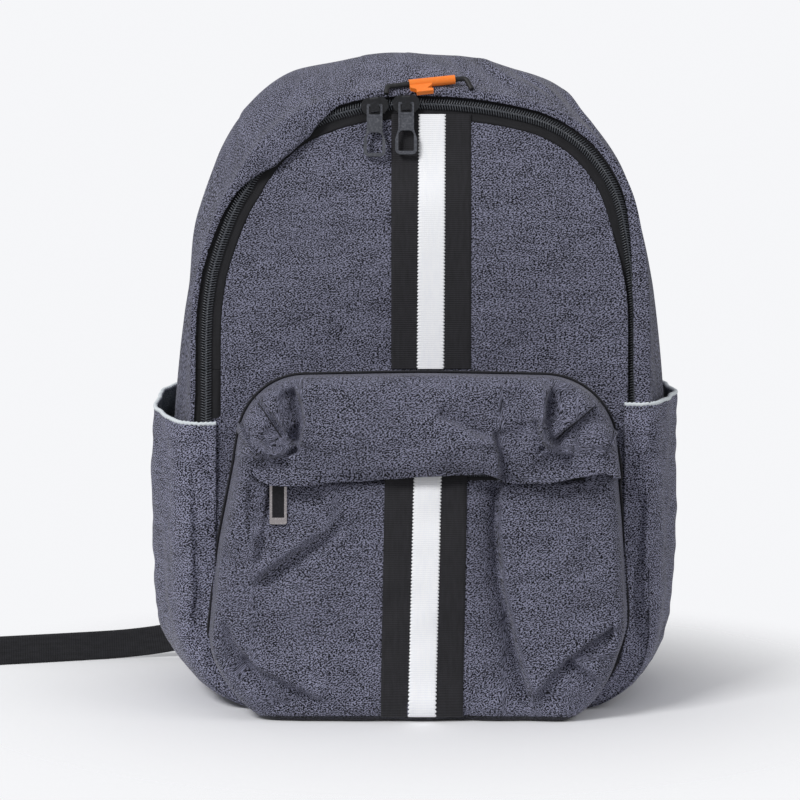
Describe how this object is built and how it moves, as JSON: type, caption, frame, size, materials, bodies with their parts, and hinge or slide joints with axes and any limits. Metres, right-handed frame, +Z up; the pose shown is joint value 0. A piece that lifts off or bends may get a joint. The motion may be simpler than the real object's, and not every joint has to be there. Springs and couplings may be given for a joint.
{
  "type": "daypack",
  "caption": "Daypack with a fold-down zipped front panel, a hooded front pocket, two side pockets, padded back and shoulder straps, and a turning hook over the main zip.",
  "frame": {"origin": "middle of the base, on the floor", "axes": "+Z up, -Y out of the front with its zips and pocket, +X to the right as the front is looked at; +Y towards the wearer's back"},
  "size_m": [0.4806, 0.2684, 0.4153],
  "materials": {
    "shell_fabric": "charcoal melange polyester, padded and quilt free",
    "base_fabric": "coated charcoal polyester",
    "mesh_fabric": "black spacer mesh over foam",
    "lining": "grey polyester lining",
    "black_webbing": "black woven webbing",
    "white_webbing": "white grosgrain",
    "rim_binding": "light grey binding tape",
    "zip_tape": "black zip tape",
    "zip_coil": "black nylon coil",
    "slider_metal": "glossy black lacquer with a worn bright edge",
    "pull_metal": "dark gunmetal, matt",
    "pull_insert": "matt black",
    "buckle_plastic": "black acetal",
    "loop_cord": "black cord",
    "orange_plastic": "orange moulded plastic"
  },
  "bodies": {
    "pack": {"gusset": "shell_fabric", "base_panel": "base_fabric", "back_panel": "mesh_fabric", "front_panel": "shell_fabric", "front_pocket": "shell_fabric", "pocket_hood": "shell_fabric", "pocket_zip_tape": "zip_tape", "pocket_zip_coil": "zip_coil", "stripe_lower_black": "black_webbing", "stripe_lower_white": "white_webbing", "zip_tape_gusset": "zip_tape", "zip_coil_gusset": "zip_coil", "zip_ends": "zip_coil", "side_pocket_left": "shell_fabric", "side_pocket_right": "shell_fabric", "rim_binding_left": "rim_binding", "rim_binding_right": "rim_binding", "back_pad_left": "mesh_fabric", "back_pad_right": "mesh_fabric", "back_pad_lumbar": "mesh_fabric", "yoke": "shell_fabric", "haul_loop": "black_webbing", "laptop_sleeve": "lining", "anchor_tab_left": "black_webbing", "anchor_tab_right": "black_webbing", "ladder_lock_left": "buckle_plastic", "ladder_lock_right": "buckle_plastic", "strap_tail_left": "black_webbing", "strap_tail_right": "black_webbing", "attachment_loop": "loop_cord"},
    "front_flap": {"front_flap": "shell_fabric", "stripe_upper_black": "black_webbing", "stripe_upper_white": "white_webbing", "zip_tape_flap": "zip_tape", "zip_coil_flap": "zip_coil"},
    "slider_left": {"zip_slider_left": "slider_metal"},
    "slider_right": {"zip_slider_right": "slider_metal"},
    "pull_left": {"zip_pull_left": "pull_metal"},
    "pull_right": {"zip_pull_right": "pull_metal"},
    "pocket_slider": {"pocket_slider": "slider_metal"},
    "pocket_pull": {"pocket_pull": "pull_metal", "pocket_pull_insert": "pull_insert"},
    "lock_hook": {"lock_hook": "orange_plastic"},
    "strap_left": {"shoulder_strap_left": "mesh_fabric", "strap_webbing_left": "black_webbing"},
    "strap_right": {"shoulder_strap_right": "mesh_fabric", "strap_webbing_right": "black_webbing"}
  },
  "joints": [
    {"name": "flap_fold", "type": "hinge", "parent": "pack", "child": "front_flap", "pos_m": [0, -0.06651, 0.21157], "axis": [1, 0, 0], "range_deg": [0, 90]},
    {"name": "slider_left_run", "type": "hinge", "parent": "front_flap", "child": "slider_left", "pos_m": [0, -0.07309, 0.09876], "axis": [0, -0.9976, 0.0698], "range_deg": [0, 6]},
    {"name": "slider_right_run", "type": "hinge", "parent": "front_flap", "child": "slider_right", "pos_m": [0, -0.07309, 0.09876], "axis": [0, -0.9976, 0.0698], "range_deg": [-13.5, 0]},
    {"name": "pull_left_swing", "type": "hinge", "parent": "slider_left", "child": "pull_left", "pos_m": [-0.0284, -0.05825, 0.37696], "axis": [-1, 0, 0], "range_deg": [0, 120]},
    {"name": "pull_right_swing", "type": "hinge", "parent": "slider_right", "child": "pull_right", "pos_m": [-0.0087, -0.05816, 0.37826], "axis": [-1, 0, 0], "range_deg": [0, 120]},
    {"name": "pocket_slider_run", "type": "slide", "parent": "pack", "child": "pocket_slider", "axis": [1, 0, 0], "range_m": [-0.008, 0.175]},
    {"name": "pocket_pull_swing", "type": "hinge", "parent": "pocket_slider", "child": "pocket_pull", "pos_m": [-0.086, -0.11465, 0.15279], "axis": [-1, 0, 0], "range_deg": [0, 35]},
    {"name": "hook_turn", "type": "hinge", "parent": "pack", "child": "lock_hook", "pos_m": [0.00403, -0.05366, 0.39154], "axis": [-0.9877, -0.11, -0.1112], "range_deg": [0, 150]},
    {"name": "strap_left_lift", "type": "hinge", "parent": "pack", "child": "strap_left", "pos_m": [-0.062, 0.0823, 0.374], "axis": [1, 0, 0], "range_deg": [0, 12]},
    {"name": "strap_right_lift", "type": "hinge", "parent": "pack", "child": "strap_right", "pos_m": [0.062, 0.0823, 0.374], "axis": [1, 0, 0], "range_deg": [0, 12]}
  ]
}
